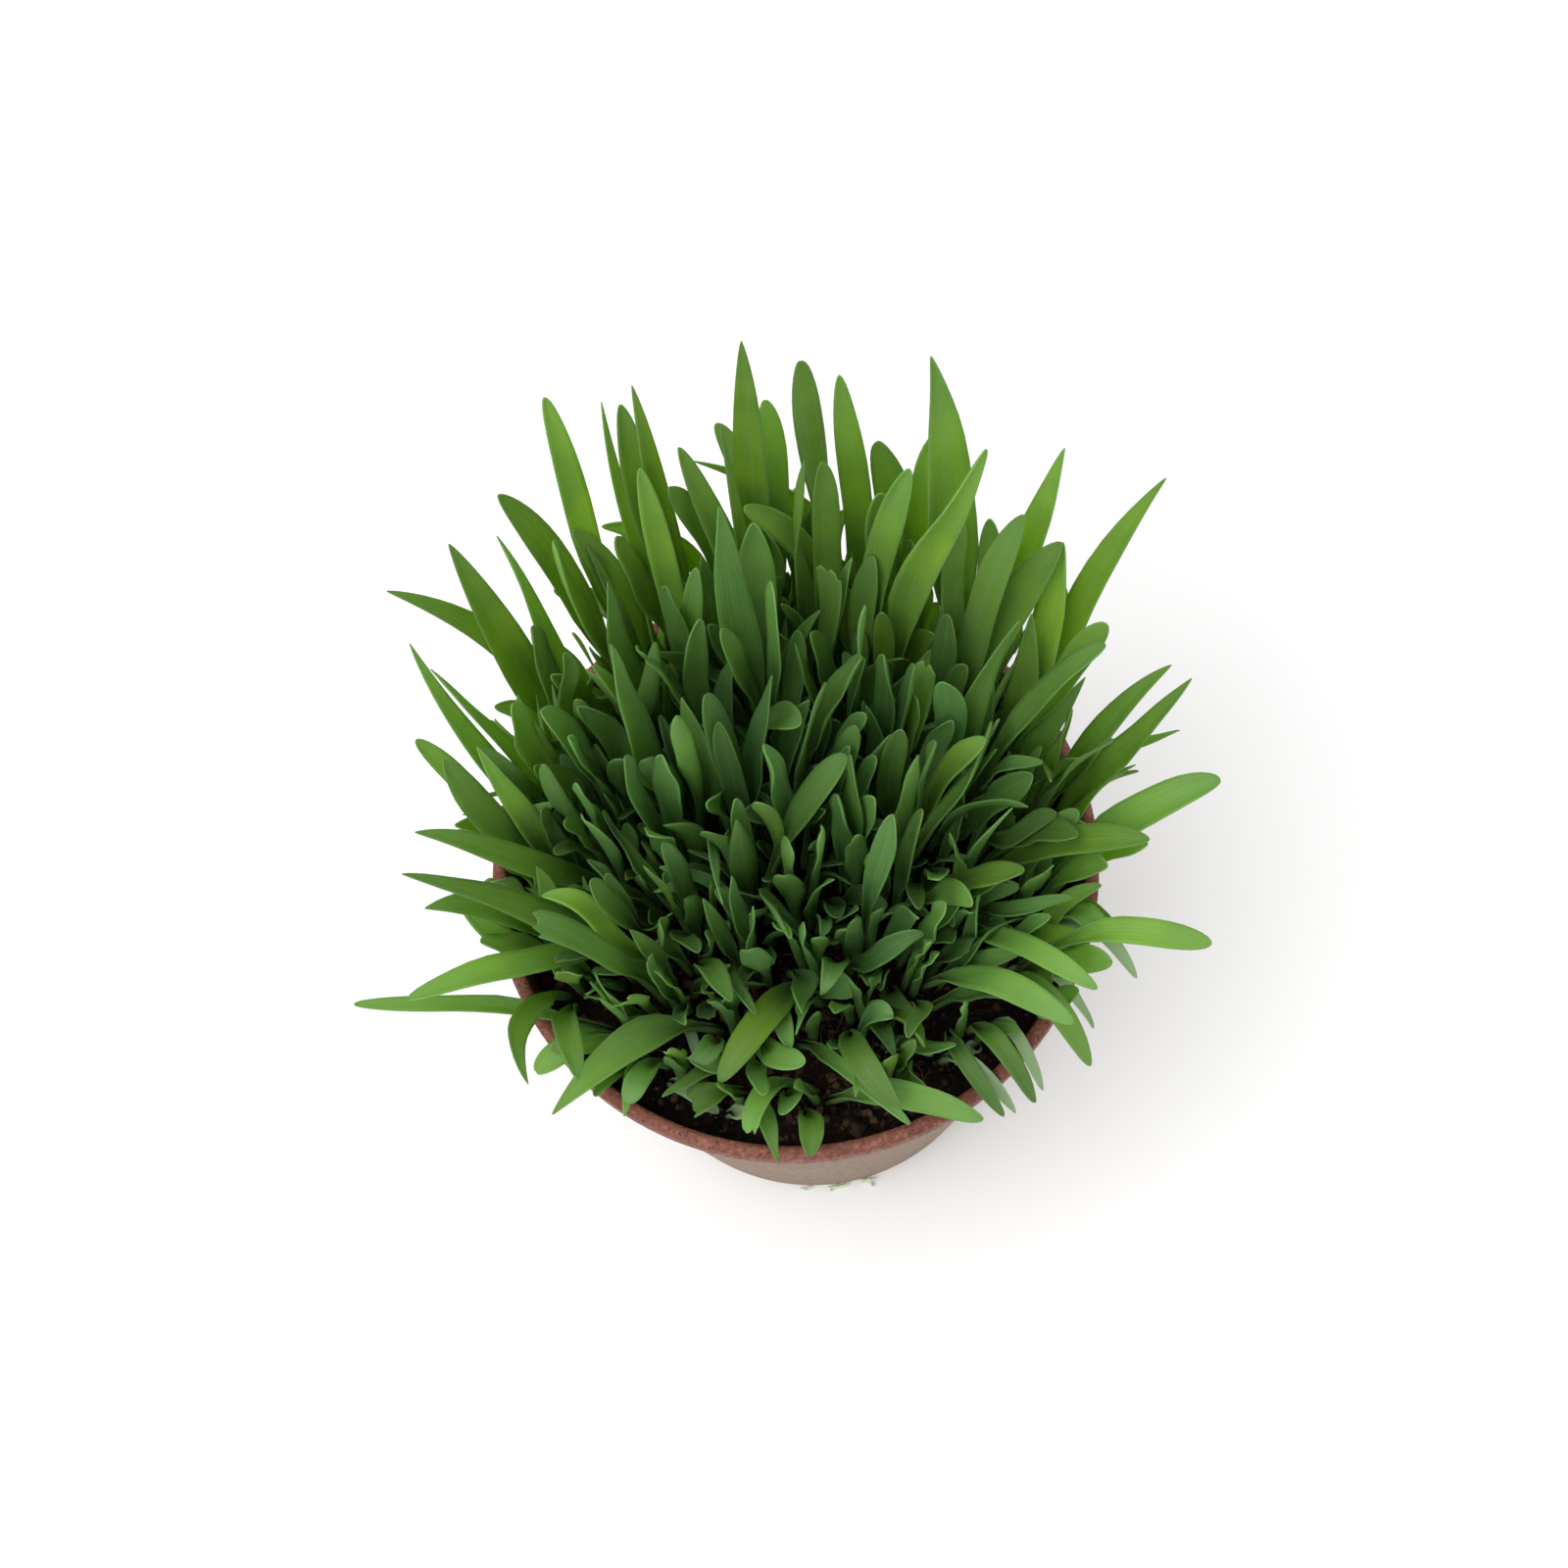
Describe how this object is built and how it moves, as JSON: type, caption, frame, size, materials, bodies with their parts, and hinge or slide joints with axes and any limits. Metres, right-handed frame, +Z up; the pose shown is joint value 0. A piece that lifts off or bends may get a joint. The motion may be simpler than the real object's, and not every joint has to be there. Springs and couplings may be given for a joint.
{
  "type": "potted cat grass",
  "caption": "Cat grass with broad young leaves growing from soil in a round tapered nursery pot with a rolled rim.",
  "frame": {"origin": "middle of the pot's underside, on the surface the pot stands on", "axes": "+Z up the pot's axis; -Y towards the low, open front of the plant; +X to the right seen from the front"},
  "size_m": [0.1631, 0.122, 0.2111],
  "materials": {
    "pot_plastic": "matte",
    "soil_mix": "matte",
    "leaf_green": "satin"
  },
  "bodies": {
    "root": {"pot": "pot_plastic", "potting_soil": "soil_mix", "grass_tuft_01": "leaf_green", "grass_tuft_02": "leaf_green", "grass_tuft_03": "leaf_green", "grass_tuft_04": "leaf_green", "grass_tuft_05": "leaf_green", "grass_tuft_06": "leaf_green", "grass_tuft_07": "leaf_green", "grass_tuft_08": "leaf_green", "grass_tuft_09": "leaf_green", "grass_tuft_10": "leaf_green", "grass_tuft_11": "leaf_green", "grass_tuft_12": "leaf_green", "grass_tuft_13": "leaf_green", "grass_tuft_14": "leaf_green", "grass_tuft_15": "leaf_green", "grass_tuft_16": "leaf_green", "grass_tuft_17": "leaf_green", "grass_tuft_18": "leaf_green", "grass_tuft_19": "leaf_green", "grass_tuft_20": "leaf_green", "grass_tuft_21": "leaf_green", "grass_tuft_22": "leaf_green", "grass_tuft_23": "leaf_green", "grass_tuft_24": "leaf_green", "grass_tuft_25": "leaf_green", "grass_tuft_26": "leaf_green", "grass_tuft_27": "leaf_green", "grass_tuft_28": "leaf_green", "grass_tuft_29": "leaf_green", "grass_tuft_30": "leaf_green", "grass_tuft_31": "leaf_green", "grass_tuft_32": "leaf_green", "grass_tuft_33": "leaf_green", "grass_tuft_34": "leaf_green", "grass_tuft_35": "leaf_green", "grass_tuft_36": "leaf_green", "grass_tuft_37": "leaf_green", "grass_tuft_38": "leaf_green", "grass_tuft_39": "leaf_green", "grass_tuft_40": "leaf_green", "grass_tuft_41": "leaf_green", "grass_tuft_42": "leaf_green", "grass_tuft_43": "leaf_green", "grass_tuft_44": "leaf_green", "grass_tuft_45": "leaf_green", "grass_tuft_46": "leaf_green", "grass_tuft_47": "leaf_green", "grass_tuft_48": "leaf_green", "grass_tuft_49": "leaf_green", "grass_tuft_50": "leaf_green", "grass_tuft_51": "leaf_green", "grass_tuft_52": "leaf_green", "grass_tuft_53": "leaf_green", "grass_tuft_54": "leaf_green", "grass_tuft_55": "leaf_green", "grass_tuft_56": "leaf_green"}
  },
  "joints": []
}
